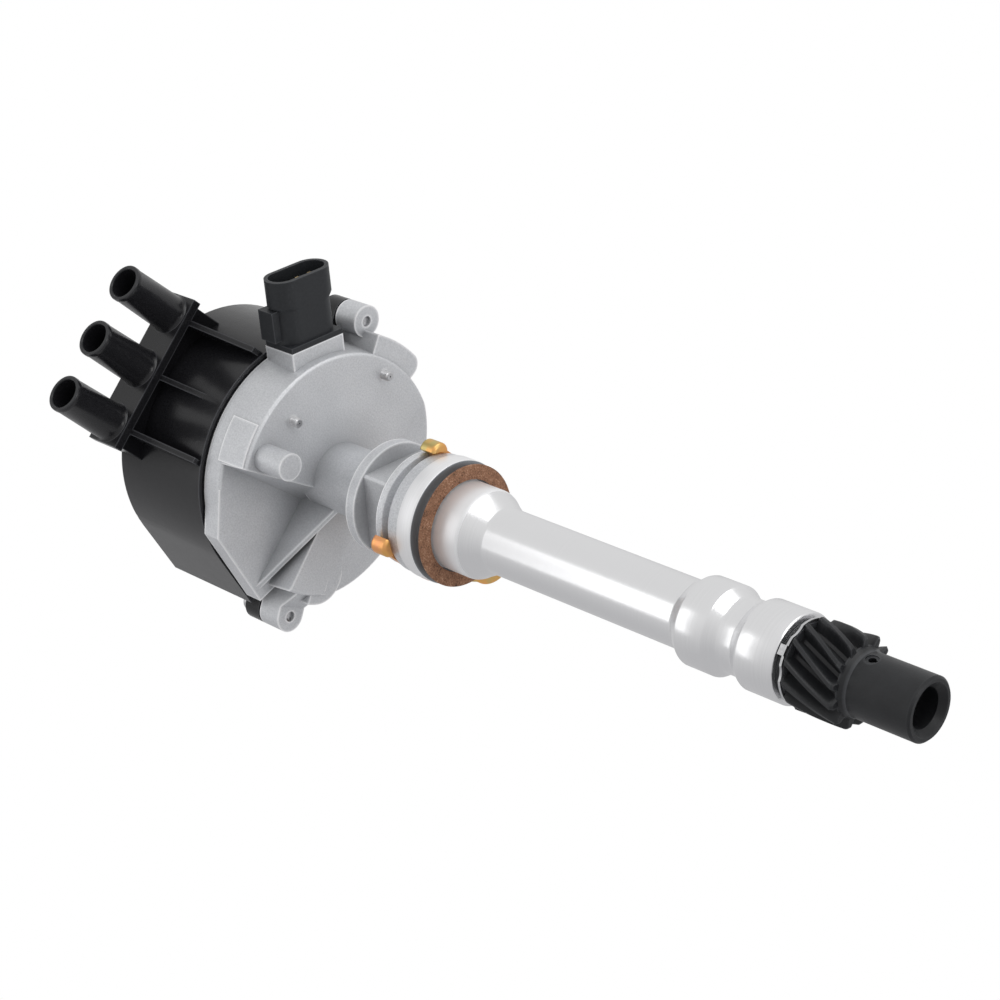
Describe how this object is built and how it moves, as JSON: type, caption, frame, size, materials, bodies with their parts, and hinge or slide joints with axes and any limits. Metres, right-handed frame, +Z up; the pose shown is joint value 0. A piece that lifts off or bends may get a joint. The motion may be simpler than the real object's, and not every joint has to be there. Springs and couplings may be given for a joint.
{
  "type": "ignition distributor",
  "caption": "Ignition distributor with a towered cap, cast housing, hold-down clamp, loose gasket, and a shaft with a helical drive gear below.",
  "frame": {"origin": "where the shaft axis meets the underside of the mounting flange", "axes": "+Z up the shaft toward the cap, +X toward the near bank of plug towers"},
  "size_m": [0.174, 0.1286, 0.3621],
  "materials": {
    "cast_aluminium": "cast, bright where machined",
    "bush_bronze": "sintered",
    "seal_rubber": "matte",
    "gasket_fibre": "speckled fibre",
    "yellow_zinc_steel": "yellow zinc plate",
    "cap_plastic": "satin black moulding",
    "terminal_metal": "bright",
    "carbon": "matte",
    "screw_steel": "zinc plate",
    "sensor_plastic": "matte moulding",
    "contact_brass": "bright",
    "ground_steel": "ground",
    "rotor_plastic": "matte moulding",
    "gear_iron": "dark oxide",
    "pin_steel": "dark oxide",
    "washer_steel": "bright"
  },
  "bodies": {
    "housing_body": {"housing": "cast_aluminium", "upper_bush": "bush_bronze", "lower_bush": "bush_bronze", "shaft_seal": "seal_rubber", "cap_seal": "seal_rubber", "distributor_cap": "cap_plastic", "plug_terminals": "terminal_metal", "coil_terminal": "terminal_metal", "carbon_button": "carbon", "cap_screws": "screw_steel", "cam_sensor": "sensor_plastic", "sensor_screws": "screw_steel", "sensor_connector": "sensor_plastic", "connector_terminals": "contact_brass"},
    "shaft_body": {"shaft": "ground_steel", "shutter_wheel": "ground_steel", "rotor": "rotor_plastic", "rotor_blade": "contact_brass", "contact_spring": "ground_steel", "rotor_screws": "screw_steel", "drive_gear": "gear_iron", "roll_pin": "pin_steel", "lower_washer": "washer_steel", "tanged_washer": "washer_steel", "thrust_shim": "pin_steel"},
    "clamp_body": {"hold_down_clamp": "yellow_zinc_steel"},
    "gasket_body": {"flange_gasket": "gasket_fibre"}
  },
  "joints": [
    {"name": "shaft_spin", "type": "hinge", "parent": "housing_body", "child": "shaft_body", "pos_m": [0, 0, 0], "axis": [0, 0, 1], "continuous": true},
    {"name": "clamp_swivel", "type": "hinge", "parent": "housing_body", "child": "clamp_body", "pos_m": [0, 0, 0.015], "axis": [0, 0, 1], "continuous": true},
    {"name": "gasket_slide", "type": "slide", "parent": "housing_body", "child": "gasket_body", "axis": [0, 0, 1], "range_m": [-0.011, 0.0037]}
  ]
}
